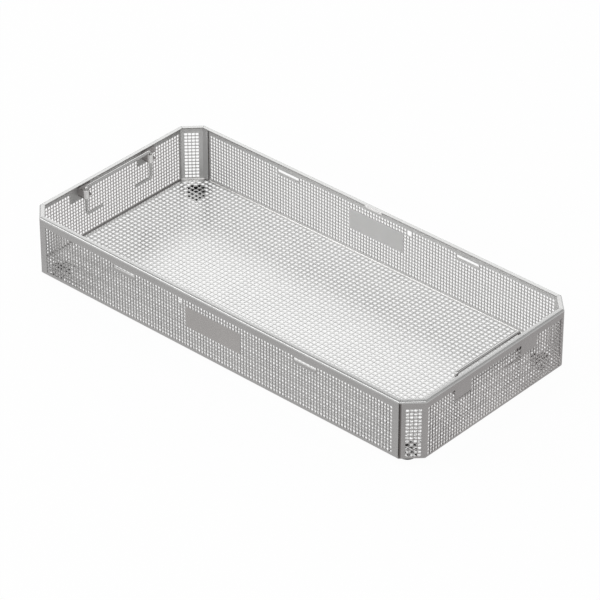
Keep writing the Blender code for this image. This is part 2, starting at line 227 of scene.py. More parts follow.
# Camera, fitted to the photograph
CAMERA_AZIMUTH = math.radians(42.008)
CAMERA_ELEVATION = math.radians(33.895)
CAMERA_DISTANCE = 3.83798
CAMERA_LENS = 219.14
SENSOR = 36.0
CAMERA_REACH = 100.0
AIM_RIGHT = 0.00383
AIM_UP = 0.01197

# Lengths along the folded sheet, from the floor's edge over the wall to the flange's edge
QUARTER_BEND = math.pi / 2 * BEND_RADIUS
WALL_START = QUARTER_BEND
WALL_END = WALL_START + TRAY_HEIGHT - 2 * BEND_RADIUS
RIM_START = WALL_END + QUARTER_BEND
RIM_END = RIM_START + RIM_WIDTH - BEND_RADIUS

# Placings, and ratios of corners that turn by 45 degrees
HALF_TURN = Matrix.Rotation(math.pi, 4, "Z")
MIRROR_Y = Matrix.Diagonal((1, -1, 1, 1))
MITRE = math.tan(math.pi / 8)
DIAGONAL = math.sqrt(0.5)

# Numbers of a sheet's tones, most of them painted light or shade: INSIDE lighter, FLANGE a painted
# highlight, PATCH a label tint or a painted seam shadow; BEND is the inner side of the bend up from the
# floor, with a painted highlight
OUTSIDE = 0
INSIDE = 1
FLANGE = 2
PATCH = 3
BEND = 4


def fold(along):
    """Inset, height and the way inwards of the sheet's outer face, at a length along its fold."""
    if along < WALL_START:
        angle = along / BEND_RADIUS
        return (BEND_RADIUS * (1 - math.sin(angle)), BEND_RADIUS * (1 - math.cos(angle)),
                math.sin(angle), math.cos(angle))
    if along < WALL_END:
        return 0.0, BEND_RADIUS + along - WALL_START, 1.0, 0.0
    if along < RIM_START:
        angle = (along - WALL_END) / BEND_RADIUS
        return (BEND_RADIUS * (1 - math.cos(angle)),
                TRAY_HEIGHT - BEND_RADIUS * (1 - math.sin(angle)), math.cos(angle), -math.sin(angle))
    return BEND_RADIUS + along - RIM_START, TRAY_HEIGHT, 0.0, -1.0


def folded(along, depth):
    """Inset and height above the ground at a length along the fold and a depth in the sheet."""
    inset, height, inwards, upwards = fold(along)
    return inset + depth * inwards, TRAY_BOTTOM + height + depth * upwards


def up_to_mitre(place, corner, inset):
    """A place along a wall, held back where the flanges of two walls meet at a mitre."""
    limit = corner - inset * MITRE - MITRE_GAP / 2
    return math.copysign(min(abs(place), limit), place)


def long_wall(along, up, depth):
    """A point of the back wall."""
    inset, height = folded(up, depth)
    x = up_to_mitre(along, HALF_LENGTH - CORNER_LEG, inset)
    return Vector((x, HALF_WIDTH - inset, height))


def short_wall(along, up, depth):
    """A point of the right wall."""
    inset, height = folded(up, depth)
    y = up_to_mitre(along, HALF_WIDTH - CORNER_LEG, inset)
    return Vector((HALF_LENGTH - inset, y, height))


def corner_panel(along, up, depth):
    """A point of the back right corner panel, from the short wall to the long wall."""
    inset, height = folded(up, depth)
    along = up_to_mitre(along, CORNER_LEG * DIAGONAL, inset)
    x = HALF_LENGTH - CORNER_LEG / 2 - (along + inset) * DIAGONAL
    y = HALF_WIDTH - CORNER_LEG / 2 + (along - inset) * DIAGONAL
    return Vector((x, y, height))


def corner_bend(along, up, depth):
    """A point of the upright bend between the short wall and the corner panel."""
    inset, height = folded(up, depth)
    angle = along / CORNER_BEND
    reach = CORNER_BEND - inset
    x = HALF_LENGTH - CORNER_BEND + reach * math.cos(angle)
    y = HALF_WIDTH - CORNER_LEG - CORNER_BEND * MITRE + reach * math.sin(angle)
    return Vector((x, y, height))


def corner_flap(along, up, depth):
    """A point of the bend behind the seam and of the flap inside the long wall."""
    height = folded(up, 0)[1]
    step_in = SHEET + FLAP_GAP
    x = HALF_LENGTH - CORNER_LEG + step_in - FLAP_BEND * MITRE
    y = HALF_WIDTH - step_in - FLAP_BEND
    bend = FLAP_BEND * math.pi / 4
    if along < bend:
        angle = math.pi / 4 + along / FLAP_BEND
        reach = FLAP_BEND - depth
        return Vector((x + reach * math.cos(angle), y + reach * math.sin(angle), height))
    return Vector((x - (along - bend), y + FLAP_BEND - depth, height))


def tray_floor(x, y, depth):
    """A point of the floor."""
    return Vector((x, y, TRAY_BOTTOM + depth))


def stretch(start, end, steps):
    """Evenly spaced numbers from start to end."""
    return [start + (end - start) * step / steps for step in range(steps + 1)]


def hole_frame(us, vs, hole, corner):
    """Faces between a block of grid cells and the hole in it, whose corners are cut off."""
    left, right, low, high = hole
    outer = ([(u, vs[0]) for u in us], [(us[-1], v) for v in vs],
             [(u, vs[-1]) for u in reversed(us)], [(us[0], v) for v in reversed(vs)])
    across = us[1:-1]
    up = vs[1:-1]
    inner = ([(left + corner, low)] + [(u, low) for u in across] + [(right - corner, low)],
             [(right, low + corner)] + [(right, v) for v in up] + [(right, high - corner)],
             [(right - corner, high)] + [(u, high) for u in reversed(across)] + [(left + corner, high)],
             [(left, high - corner)] + [(left, v) for v in reversed(up)] + [(left, low + corner)])
    faces = []
    for side in range(4):
        edge = outer[side]
        rim = inner[side]
        for k in range(len(edge) - 1):
            faces.append((edge[k], edge[k + 1], rim[k + 1], rim[k]))
        faces.append((edge[-1], inner[(side + 1) % 4][0], rim[-1]))
    return faces


def square_punch(column, row, size):
    """A square hole in the middle of one grid cell."""
    return (column, column + 1, row, row + 1), size, size, 0.0


def punched_grid(us, vs, punches, left_out=(), clip=None):
    """Faces of a grid of cells with punched holes, without the cells that are left out.

    A punch is a block of cells (first column, end column, first row, end row), the length and
    height of the hole in its middle, and how far the hole is raised from there.
    """
    faces = []
    taken = set(left_out)
    for (i0, i1, j0, j1), length, height, rise in punches:
        taken.update((i, j) for i in range(i0, i1) for j in range(j0, j1))
        u = (us[i0] + us[i1]) / 2
        v = (vs[j0] + vs[j1]) / 2 + rise
        hole = (u - length / 2, u + length / 2, v - height / 2, v + height / 2)
        faces += hole_frame(us[i0:i1 + 1], vs[j0:j1 + 1], hole, HOLE_CORNER)
    for i in range(len(us) - 1):
        for j in range(len(vs) - 1):
            if (i, j) in taken:
                continue
            face = [(us[i], vs[j]), (us[i + 1], vs[j]), (us[i + 1], vs[j + 1]), (us[i], vs[j + 1])]
            if clip is not None:
                face = clip(face)
            if len(face) > 2:
                faces.append(face)
    return faces


def outside_tone(face, patch):
    """Tone of a flat face's outer side, with a patch given by its lowest and highest corners; the flange's
    tone is a painted highlight.
    """
    u = sum(point[0] for point in face) / len(face)
    v = sum(point[1] for point in face) / len(face)
    if v > WALL_END:
        return FLANGE
    if patch is not None and patch[0][0] < u < patch[1][0] and patch[0][1] < v < patch[1][1]:
        return PATCH
    return OUTSIDE


def inside_tone(face, bend_tone):
    """Tone of a flat face's inner side, which is painted lighter than the outer side, where the bend from
    the floor may have its own.
    """
    middle = sum(point[1] for point in face) / len(face)
    return bend_tone if middle < WALL_START else INSIDE


class SheetMesh:
    """Thick sheet made from flat faces and a function that folds them into place."""

    def __init__(self, thickness=SHEET):
        self.thickness = thickness
        self.vertices = []
        self.faces = []
        self.tones = []

    def add(self, flat_faces, place, patch=None, edge_tone=OUTSIDE, bend_tone=INSIDE):
        """Fold flat faces into place as both sides of the sheet, and close its edges."""
        numbers = {}
        layer = []
        for face in flat_faces:
            points = [(round(u, POINT_DIGITS), round(v, POINT_DIGITS)) for u, v in face]
            layer.append([numbers.setdefault(point, len(numbers)) for point in points])
        start = len(self.vertices)
        count = len(numbers)
        for depth in (0.0, self.thickness):
            self.vertices += [place(u, v, depth) for u, v in numbers]
        edges = {(a, b) for face in layer for a, b in zip(face, face[1:] + face[:1])}
        outside = [[start + a for a in face] for face in layer]
        inside = [[start + count + a for a in reversed(face)] for face in layer]
        sides = [[start + b, start + a, start + count + a, start + count + b]
                 for a, b in edges if (b, a) not in edges]
        faces = outside + inside + sides
        if self.faces_inwards(faces[0], count):
            faces = [face[::-1] for face in faces]
        self.faces += faces
        self.tones += [outside_tone(face, patch) for face in flat_faces]
        self.tones += [inside_tone(face, bend_tone) for face in flat_faces]
        self.tones += [edge_tone] * len(sides)

    def faces_inwards(self, face, count):
        """Whether an outer face looks at its inner one, which lies count vertices on."""
        points = [self.vertices[number] for number in face]
        normal = (points[1] - points[0]).cross(points[2] - points[1])
        inwards = self.vertices[face[0] + count] - points[0]
        return normal.dot(inwards) > 0

    def make(self, name, materials, placing=None):
        """Make the sheet's piece of the tray, with a material for each tone that it has, lit and shaded
        copies of one steel among them.
        """
        mesh = bpy.data.meshes.new(name)
        mesh.from_pydata(self.vertices, [], self.faces)
        mesh.polygons.foreach_set("material_index", self.tones)
        return finish_piece(name, mesh, materials, "tray", placing)


def finish_piece(name, mesh, materials, body, placing=None):
    """Make an object of the mesh, moved by placing, that rides on a body."""
    if placing is not None:
        mesh.transform(placing)
        if placing.determinant() < 0:
            mesh.flip_normals()
    mesh.shade_smooth()
    mesh.set_sharp_from_angle(angle=SMOOTH_ANGLE)
    for material in materials:
        mesh.materials.append(material)
    piece = bpy.data.objects.new(name, mesh)
    bpy.context.scene.collection.objects.link(piece)
    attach(piece, body)
    return piece


def field(count, pitch, middle=0.0):
    """Grid lines of a row of punched cells."""
    return [middle + (k - count / 2) * pitch for k in range(count + 1)]


def wall_heights(row_low, pitch):
    """Grid lines up a wall: the bend from the floor, the punched rows, the bend to the flange."""
    low = WALL_START + row_low - BEND_RADIUS - pitch / 2
    rows = [low + k * pitch for k in range(WALL_ROWS + 1)]
    return (stretch(0, WALL_START, BEND_STEPS) + rows + stretch(WALL_END, RIM_START, BEND_STEPS)
            + [RIM_END])


def row_from_top(count):
    """Number of the grid row of a punched row that is counted from the top, the top row being 1."""
    return BEND_STEPS + 1 + WALL_ROWS - count


def make_long_walls(materials):
    """Both long walls, each with a plain label place, two slots and a square opening."""
    seam = HALF_LENGTH - CORNER_LEG - SEAM_GAP
    us = [-seam] + field(LONG_COLUMNS, LONG_PITCH, LONG_SHIFT) + [seam]
    vs = wall_heights(LONG_ROW_LOW, LONG_ROW_PITCH)
    middle = 1 + LONG_COLUMNS // 2
    top = row_from_top(1)
    punches = []
    used = {(middle + c, row_from_top(r)) for c in LABEL_COLUMNS for r in LABEL_ROWS}
    other_slot = (1 - SLOT_COLUMNS[1], 1 - SLOT_COLUMNS[0])
    for (first, end), length, height, rise in (
            (SLOT_COLUMNS, SLOT_LENGTH, SLOT_HEIGHT, SLOT_RISE),
            (other_slot, SLOT_LENGTH, SLOT_HEIGHT, SLOT_RISE),
            (SQUARE_COLUMNS, SQUARE_HOLE, SQUARE_HOLE, 0.0)):
        block = (middle + first, middle + end, top - 1, top + 1)
        punches.append((block, length, height, rise))
        used.update((middle + c, r) for c in range(first, end) for r in (top - 1, top))
    for i in range(1, 1 + LONG_COLUMNS):
        for count in range(1, WALL_ROWS + 1):
            j = row_from_top(count)
            if (i, j) not in used:
                punches.append(square_punch(i, j, LONG_HOLE))
    label = ((us[middle + LABEL_COLUMNS[0]], vs[row_from_top(LABEL_ROWS[-1])]),
             (us[middle + LABEL_COLUMNS[-1] + 1], vs[row_from_top(LABEL_ROWS[0]) + 1]))
    sheet = SheetMesh()
    # The bend up from the floor takes a painted highlight, and the label place a tint of its own
    sheet.add(punched_grid(us, vs, punches), long_wall, label, bend_tone=BEND)
    back = sheet.make("long_wall_back", materials)
    front = sheet.make("long_wall_front", materials, HALF_TURN)
    return [back, front]


def make_short_walls(materials):
    """Both short walls, each with two plain places where the brackets' pads stand."""
    wall_end = HALF_WIDTH - CORNER_LEG - CORNER_BEND * MITRE
    us = [-wall_end] + field(SHORT_COLUMNS, SHORT_PITCH) + [wall_end]
    vs = wall_heights(SHORT_ROW_LOW, SHORT_ROW_PITCH)
    middle = 1 + SHORT_COLUMNS // 2
    plain = {(middle + side * c, row_from_top(r)) for side in (-1, 1)
             for c in PAD_COLUMNS for r in PAD_ROWS}
    punches = []
    for i in range(1, 1 + SHORT_COLUMNS):
        for count in range(1, WALL_ROWS + 1):
            j = row_from_top(count)
            if (i, j) not in plain:
                punches.append(square_punch(i, j, SHORT_HOLE))
    sheet = SheetMesh()
    sheet.add(punched_grid(us, vs, punches), short_wall, bend_tone=OUTSIDE)
    right = sheet.make("short_wall_right", materials)
    left = sheet.make("short_wall_left", materials, HALF_TURN)
    return [right, left]


def make_corner_sheet():
    """The back right corner: its panel, the bend to the short wall and the flap behind the seam."""
    half = CORNER_LEG * DIAGONAL
    flap_start = half - (SHEET + FLAP_GAP) / DIAGONAL - FLAP_BEND * MITRE
    us = ([-half + CORNER_BEND * MITRE] + field(PANEL_COLUMNS, SHORT_PITCH, -PANEL_SHIFT)
          + [flap_start, half])
    vs = wall_heights(SHORT_ROW_LOW, SHORT_ROW_PITCH)
    punches = [square_punch(i, row_from_top(r), PANEL_HOLE)
               for i in range(1, 1 + PANEL_COLUMNS) for r in range(1, WALL_ROWS + 1)]
    # Between the bends of the floor and the rim, the panel stops where its flap bends off
    wall_rows = range(BEND_STEPS, BEND_STEPS + WALL_ROWS + 2)
    beside_seam = [(len(us) - 2, j) for j in wall_rows]
    sheet = SheetMesh()
    # The bend up from the floor takes a painted highlight
    sheet.add(punched_grid(us, vs, punches, beside_seam), corner_panel, bend_tone=BEND)
    bend = CORNER_BEND * math.pi / 4
    sheet.add(punched_grid(stretch(0, bend, BEND_STEPS), vs[:-1], []), corner_bend)
    flap_bend = FLAP_BEND * math.pi / 4
    around = stretch(0, flap_bend, BEND_STEPS) + [flap_bend + FLAP_LENGTH]
    flap_rows = [vs[j] for j in wall_rows] + [WALL_END]
    # The flap's outer side and its edges take the seam's tone, a painted shadow in the groove beside the
    # seam
    whole_flap = ((0, 0), (around[-1], WALL_END))
    sheet.add(punched_grid(around, flap_rows, []), corner_flap, whole_flap, PATCH)
    return sheet


def make_corners(materials):
    """All four corner panels, turned and mirrored from the back right one."""
    sheet = make_corner_sheet()
    placings = {"back_right": None, "front_right": MIRROR_Y,
                "front_left": HALF_TURN, "back_left": HALF_TURN @ MIRROR_Y}
    return [sheet.make("corner_panel_" + name, materials, placing)
            for name, placing in placings.items()]


def make_floor(material):
    """The punched floor with its cut corners, in one steel all over."""
    limit = HALF_LENGTH + HALF_WIDTH - CORNER_LEG - BEND_RADIUS / DIAGONAL
    edge_x = HALF_LENGTH - BEND_RADIUS
    edge_y = HALF_WIDTH - BEND_RADIUS
    columns, rows = FLOOR_HOLES
    us = [-edge_x] + field(columns, FLOOR_PITCH[0], FLOOR_MIDDLE[0]) + [edge_x]
    vs = [-edge_y] + field(rows, FLOOR_PITCH[1], FLOOR_MIDDLE[1]) + [edge_y]

    def cut_corner(face):
        """The part of a face that lies inside the cut corner of the floor."""
        spare = [limit - abs(u) - abs(v) for u, v in face]
        kept = []
        for k, point in enumerate(face):
            following = face[(k + 1) % len(face)]
            now = spare[k]
            then = spare[(k + 1) % len(face)]
            if now >= 0:
                kept.append(point)
            if (now > 0 > then) or (now < 0 < then):
                share = now / (now - then)
                kept.append(tuple(p + (q - p) * share for p, q in zip(point, following)))
        return kept

    punches = []
    for i in range(1, 1 + columns):
        for j in range(1, 1 + rows):
            far = max(abs(us[i]), abs(us[i + 1])) + max(abs(vs[j]), abs(vs[j + 1]))
            if far <= limit:
                punches.append(square_punch(i, j, FLOOR_HOLE))
    sheet = SheetMesh()
    sheet.add(punched_grid(us, vs, punches, clip=cut_corner), tray_floor)
    # The whole floor takes one steel, a lighter copy that paints the light from above
    sheet.tones = [OUTSIDE] * len(sheet.tones)
    return sheet.make("tray_floor", [material])


def make_lips(material):
    """A short lip turned down at the middle of each long flange, with one slanted end."""
    edge = HALF_WIDTH - RIM_WIDTH
    pieces = []
    for name, placing in (("back", Matrix.Identity(4)), ("front", HALF_TURN)):
        shape = bmesh.new()
        bmesh.ops.create_cube(shape, size=1.0)
        for vert in shape.verts:
            left = vert.co.x < 0
            low = vert.co.z < 0
            vert.co = Vector((-LIP_LENGTH / 2 if left else LIP_LENGTH / 2,
                              edge - LIP_PROUD if vert.co.y < 0 else edge + SHEET - LIP_PROUD,
                              TRAY_TOP - LIP_DEPTH if low else TRAY_TOP - LIP_SINK))
            if left and low:
                vert.co.x += LIP_SLANT
        bmesh.ops.bevel(shape, geom=list(shape.edges), offset=LIP_EDGE, segments=LIP_EDGE_STEPS,
                        affect="EDGES", profile=ROUND_PROFILE)
        mesh = bpy.data.meshes.new("rim_lip_" + name)
        shape.to_mesh(mesh)
        shape.free()
        pieces.append(finish_piece(mesh.name, mesh, [material], "tray", placing))
    return pieces


def quarter_round(centre, radius, start):
    """Points of a quarter turn about a centre, anticlockwise from the start angle."""
    angles = [start + math.pi / 2 * step / ROUND_STEPS for step in range(ROUND_STEPS + 1)]
    return [(centre[0] + radius * math.cos(angle), centre[1] + radius * math.sin(angle))
            for angle in angles]


def wire_path(leg, low):
    """Middle line of a handle in its own plane: grip, two legs and two feet turned inwards."""
    corners = [(-leg + HANDLE_FOOT, low), (-leg, low), (-leg, 0), (leg, 0), (leg, low),
               (leg - HANDLE_FOOT, low)]
    corners = [Vector(corner) for corner in corners]
    path = [corners[0]]
    for before, corner, after in zip(corners, corners[1:], corners[2:]):
        way_in = (before - corner).normalized()
        way_out = (after - corner).normalized()
        centre = corner + (way_in + way_out) * WIRE_BEND
        for step in range(WIRE_BEND_STEPS + 1):
            angle = math.pi / 2 * step / WIRE_BEND_STEPS
            path.append(centre - (way_out * math.cos(angle) + way_in * math.sin(angle)) * WIRE_BEND)
    path.append(corners[-1])
    return path


def wire_rings(path):
    """Rings of a round wire as (place, direction, radius), with slightly rounded ends."""
    rings = []
    for k, place in enumerate(path):
        before = path[max(k - 1, 0)]
        after = path[min(k + 1, len(path) - 1)]
        rings.append((place, (after - before).normalized(), WIRE / 2))
    ends = []
    for place, direction, inwards in ((path[0], rings[0][1], 1), (path[-1], rings[-1][1], -1)):
        end = []
        for step in range(ROUND_STEPS + 1):
            angle = math.pi / 2 * step / ROUND_STEPS
            back = WIRE_END * (1 - math.sin(angle))
            end.append((place + direction * inwards * back, direction,
                        WIRE / 2 - WIRE_END * (1 - math.cos(angle))))
        ends.append(end)
    return list(reversed(ends[0])) + rings[1:-1] + ends[1]


def make_handle(side, material):
    """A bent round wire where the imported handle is, 1 for the right one and -1 for the left."""
    name = "handle_right" if side > 0 else "handle_left"
    low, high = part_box(name)
    middle_x = (low.x + high.x) / 2
    grip_z = high.z - WIRE / 2
    leg = (high.y - low.y - WIRE) / 2
    vertices = []
    for place, direction, radius in wire_rings(wire_path(leg, low.z + WIRE / 2 - grip_z)):
        for k in range(WIRE_SIDES):
            angle = 2 * math.pi * k / WIRE_SIDES
            out = radius * math.sin(angle)
            vertices.append(Vector((middle_x + radius * math.cos(angle),
                                    place.x - direction.y * out, grip_z + place.y + direction.x * out)))
    rings = len(vertices) // WIRE_SIDES
    first_end = list(range(WIRE_SIDES))
    last_end = list(range(len(vertices) - 1, len(vertices) - 1 - WIRE_SIDES, -1))
    faces = [first_end, last_end]
    for ring in range(rings - 1):
        for k in range(WIRE_SIDES):
            a = ring * WIRE_SIDES + k
            b = ring * WIRE_SIDES + (k + 1) % WIRE_SIDES
            faces.append([b, a, a + WIRE_SIDES, b + WIRE_SIDES])
    mesh = bpy.data.meshes.new(name + "_wire")
    mesh.from_pydata(vertices, [], faces)
    outward_faces(mesh)
    wire = finish_piece(mesh.name, mesh, [material], name)
    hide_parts(name)


def outward_faces(mesh):
    """Turn the faces of closed bodies outwards."""
    shape = bmesh.new()
    shape.from_mesh(mesh)
    bmesh.ops.recalc_face_normals(shape, faces=shape.faces)
    shape.to_mesh(mesh)
    shape.free()


def lathe(shape, section, sides, centre=(0.0, 0.0)):
    """Turn a section of (radius, height) points about an upright axis; a radius of 0 is a point."""
    rings = []
    for radius, height in section:
        if radius == 0:
            rings.append([shape.verts.new((*centre, height))] * sides)
            continue
        rings.append([shape.verts.new((centre[0] + radius * math.cos(2 * math.pi * k / sides),
                                       centre[1] + radius * math.sin(2 * math.pi * k / sides), height))
                      for k in range(sides)])
    for upper, lower in zip(rings, rings[1:]):
        for k in range(sides):
            corners = [upper[k], upper[(k + 1) % sides], lower[(k + 1) % sides], lower[k]]
            shape.faces.new(list(dict.fromkeys(corners)))


def bracket_shelf_and_pad(wall, height):
    """The folded strip of a bracket: a shelf, a bend and a pad that stands against the wall."""
    flat = wall - BRACKET_BEND
    low = SLEEVE - SHELF_WIDTH
    bend = BRACKET_BEND * math.pi / 2
    top = flat + bend + height - BRACKET_BEND
    # The shelf meets the sleeve in a bite halfway into its wall, and has a rounded nose beside it
    grip = SLEEVE_BORE + SLEEVE_WALL / 2
    bite = [(grip * math.cos(angle), grip * math.sin(angle))
            for angle in stretch(-math.pi / 2, math.pi / 2, BITE_STEPS)]
    nose_y = SLEEVE - SHELF_NOSE
    nose = quarter_round((SHELF_ROUND, nose_y + SHELF_ROUND / 2), SHELF_ROUND, math.pi)[:-1]
    shelf = [(flat, low), (flat, SLEEVE), (0, SLEEVE)] + bite[::-1] + nose
    strips = stretch(flat, flat + bend, ROUND_STEPS)
    faces = [shelf[::-1]]
    faces += [[(a, low), (b, low), (b, SLEEVE), (a, SLEEVE)] for a, b in zip(strips, strips[1:])]
    far = SLEEVE - PAD_WIDTH
    near = SLEEVE - PAD_SETBACK
    pad = ([(flat + bend, low), (flat + bend, SLEEVE)]
           + quarter_round((top - PAD_ROUND, near - PAD_ROUND), PAD_ROUND, 0)[::-1]
           + quarter_round((top - PAD_ROUND, far + PAD_ROUND), PAD_ROUND, -math.pi / 2)[::-1]
           + [(flat + bend, far)])
    faces.append(pad[::-1])

    def place(along, across, depth):
        """A point of the strip, which runs flat, then round the bend, then up the wall."""
        if along < flat:
            return Vector((along, across, depth))
        if along < flat + bend:
            angle = (along - flat) / BRACKET_BEND
            reach = BRACKET_BEND - depth
            return Vector((flat + reach * math.sin(angle), across, BRACKET_BEND - reach * math.cos(angle)))
        return Vector((wall - depth, across, BRACKET_BEND + along - flat - bend))

    sheet = SheetMesh(BRACKET_SHEET)
    sheet.add(faces, place)
    mesh = bpy.data.meshes.new("bracket_sheet")
    mesh.from_pydata(sheet.vertices, [], sheet.faces)
    return mesh


def make_bracket(name, wall, height, placing, materials):
    """A folded guide: shelf and pad in one strip, a web beside them and a sleeve for the leg."""
    shape = bmesh.new()
    strip = bracket_shelf_and_pad(wall, height)
    shape.from_mesh(strip)
    bpy.data.meshes.remove(strip)
    web = bmesh.ops.create_cube(shape, size=1.0)["verts"]
    low = Vector((SLEEVE_BORE / 2, SLEEVE_BORE, BRACKET_SHEET / 2))
    high = Vector((wall - BRACKET_SHEET / 2, SLEEVE, height - WEB_DROP))
    for vert in web:
        vert.co = Vector([(high if c > 0 else low)[axis] for axis, c in enumerate(vert.co)])
    edge = SLEEVE_EDGE
    outer = SLEEVE - edge
    inner = SLEEVE_BORE + edge
    top = height - edge
    section = (quarter_round((outer, edge), edge, -math.pi / 2) + quarter_round((outer, top), edge, 0)
               + quarter_round((inner, top), edge, math.pi / 2)
               + quarter_round((inner, edge), edge, math.pi))
    strip_faces = set(shape.faces)
    lathe(shape, section + section[:1], SLEEVE_SIDES)
    for face in shape.faces:
        # The sleeve takes the second material, a near-white steel that paints a highlight
        face.material_index = OUTSIDE if face in strip_faces else INSIDE
    bmesh.ops.remove_doubles(shape, verts=shape.verts, dist=WELD_DISTANCE)
    bmesh.ops.recalc_face_normals(shape, faces=shape.faces)
    mesh = bpy.data.meshes.new(name + "_folded")
    shape.to_mesh(mesh)
    shape.free()
    bracket = finish_piece(mesh.name, mesh, materials, "tray", placing)
    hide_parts(name)


def make_brackets(materials):
    """All four guides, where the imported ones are; each faces the short wall beside it."""
    for side, end in ((1, "right"), (-1, "left")):
        low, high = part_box("handle_" + end)
        x = (low.x + high.x) / 2
        leg = (high.y - low.y - WIRE) / 2
        for row in ("front", "back"):
            name = "handle_bracket_" + end + "_" + row
            box_low, box_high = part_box(name)
            wall = (box_high.x - x) if side > 0 else (x - box_low.x)
            y = leg if row == "back" else -leg
            placing = Matrix.Translation((x, y, box_low.z))
            if side < 0:
                placing = placing @ HALF_TURN
            make_bracket(name, wall, box_high.z - box_low.z, placing, materials)


def nearest_hole(place):
    """The middle of the floor's hole that is nearest to a place."""
    return [middle + (math.floor((p - middle) / pitch) + 0.5) * pitch
            for p, middle, pitch in zip(place, FLOOR_MIDDLE, FLOOR_PITCH)]


def make_feet(material):
    """Turned rubber feet; the stem and head of each sit in the floor's nearest hole."""
    for node in (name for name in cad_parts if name.startswith("foot_")):
        low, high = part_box(node)
        centre = ((low.x + high.x) / 2, (low.y + high.y) / 2)
        radius = (high.x - low.x) / 2
        body_top = TRAY_BOTTOM - FOOT_GAP
        edge = FOOT_SHOULDER
        body = [(0, body_top), (radius - edge, body_top)]
        body += quarter_round((radius - edge, body_top - edge), edge, 0)[::-1][1:]
        toe = radius - FOOT_TAPER - FOOT_EDGE
        body += quarter_round((toe, FOOT_EDGE), FOOT_EDGE, -math.pi / 2)[::-1]
        body.append((0, 0))
        head_low = TRAY_BOTTOM + SHEET + HEAD_GAP
        head_top = head_low + HEAD_HEIGHT
        stem = [(0, head_top), (HEAD_TOP / 2 - edge, head_top)]
        stem += quarter_round((HEAD_TOP / 2 - edge, head_top - edge), edge, 0)[::-1][1:]
        stem += [(HEAD / 2, head_low), (STEM / 2, head_low), (STEM / 2, body_top - HEAD_HEIGHT),
                 (0, body_top - HEAD_HEIGHT)]
        shape = bmesh.new()
        lathe(shape, body, FOOT_SIDES, centre)
        lathe(shape, stem, STEM_SIDES, nearest_hole(centre))
        bmesh.ops.recalc_face_normals(shape, faces=shape.faces)
        mesh = bpy.data.meshes.new(node + "_rubber")
        shape.to_mesh(mesh)
        shape.free()
        foot = finish_piece(mesh.name, mesh, [material], "tray")
        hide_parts(node)


def new_material(name):
    """A new material, its nodes and its links."""
    material = bpy.data.materials.new(name)
    material.use_nodes = True
    return material, material.node_tree.nodes, material.node_tree.links


def add_relief(nodes, links, height, roughness, strength, distance):
    """Let a pattern's height vary the roughness from low to high and raise a fine bump."""
    shader = nodes["Principled BSDF"]
    rough = nodes.new("ShaderNodeMapRange")
    rough.inputs["To Min"].default_value = roughness[0]
    rough.inputs["To Max"].default_value = roughness[1]
    links.new(height, rough.inputs["Value"])
    links.new(rough.outputs["Result"], shader.inputs["Roughness"])
    bump = nodes.new("ShaderNodeBump")
    bump.inputs["Strength"].default_value = strength
    bump.inputs["Distance"].default_value = distance
    links.new(height, bump.inputs["Height"])
    links.new(bump.outputs["Normal"], shader.inputs["Normal"])


def make_steel(name, grain, colour, roughness=STEEL_ROUGHNESS, metallic=STEEL_METALLIC):
    """Brushed steel with fine lines along the grain, which is an angle about Z."""
    material, nodes, links = new_material(name)
    shader = nodes["Principled BSDF"]
    shader.inputs["Metallic"].default_value = metallic
    place = nodes.new("ShaderNodeTexCoord")
    turn = nodes.new("ShaderNodeMapping")
    turn.inputs["Rotation"].default_value = (0, 0, -grain)
    links.new(place.outputs["Object"], turn.inputs["Vector"])
    squeeze = nodes.new("ShaderNodeMapping")
    squeeze.inputs["Scale"].default_value = (GRAIN_ALONG, GRAIN_ACROSS, GRAIN_ACROSS)
    links.new(turn.outputs["Vector"], squeeze.inputs["Vector"])
    lines = nodes.new("ShaderNodeTexNoise")
    lines.inputs["Scale"].default_value = 1.0
    lines.inputs["Detail"].default_value = GRAIN_DETAIL
    links.new(squeeze.outputs["Vector"], lines.inputs["Vector"])
    clouds = nodes.new("ShaderNodeTexNoise")
    clouds.inputs["Scale"].default_value = CLOUD_SCALE
    clouds.inputs["Detail"].default_value = CLOUD_DETAIL
    links.new(place.outputs["Object"], clouds.inputs["Vector"])
    shades = nodes.new("ShaderNodeMix")
    shades.data_type = "RGBA"
    shades.inputs["A"].default_value = (*[value * (1 - CLOUD_DEPTH) for value in colour], 1)
    shades.inputs["B"].default_value = (*[value * (1 + CLOUD_DEPTH) for value in colour], 1)
    links.new(clouds.outputs["Fac"], shades.inputs["Factor"])
    links.new(shades.outputs["Result"], shader.inputs["Base Color"])
    add_relief(nodes, links, lines.outputs["Fac"], (roughness - ROUGH_DEPTH, roughness + ROUGH_DEPTH),
               GRAIN_BUMP, GRAIN_DEPTH)
    return material


def make_rubber():
    """Matt black rubber with a fine, even grain."""
    material, nodes, links = new_material("black_rubber")
    shader = nodes["Principled BSDF"]
    shader.inputs["Base Color"].default_value = (*RUBBER_COLOUR, 1)
    shader.inputs["Specular IOR Level"].default_value = RUBBER_SPECULAR
    grain = nodes.new("ShaderNodeTexNoise")
    grain.inputs["Scale"].default_value = RUBBER_GRAIN
    place = nodes.new("ShaderNodeTexCoord")
    links.new(place.outputs["Object"], grain.inputs["Vector"])
    add_relief(nodes, links, grain.outputs["Fac"], RUBBER_ROUGHNESS, RUBBER_BUMP, RUBBER_DEPTH)
    return material


